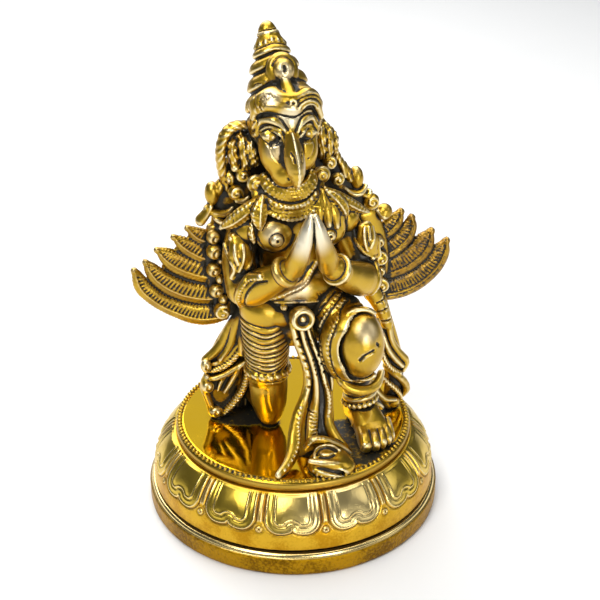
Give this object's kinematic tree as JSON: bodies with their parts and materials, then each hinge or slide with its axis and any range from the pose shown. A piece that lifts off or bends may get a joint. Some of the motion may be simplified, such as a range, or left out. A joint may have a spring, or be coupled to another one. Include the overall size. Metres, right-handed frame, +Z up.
{
  "type": "garuda figure",
  "caption": "Cast brass figure of a bird-faced, winged deity kneeling on one knee with palms pressed together, on a round lotus-petal pedestal.",
  "frame": {"origin": "middle of the pedestal's flat underside", "axes": "+Z up, the figure looks along -Y, +X towards its left wing"},
  "size_m": [0.0901, 0.086, 0.1388],
  "materials": {
    "figure_brass": "polished on the raised forms, dark patina in the carving",
    "pedestal_brass": "turned and brushed, with engraved petals and a grainy upright foot"
  },
  "bodies": {
    "root": {"lotus_pedestal": "pedestal_brass", "garuda_figure": "figure_brass"}
  },
  "joints": []
}
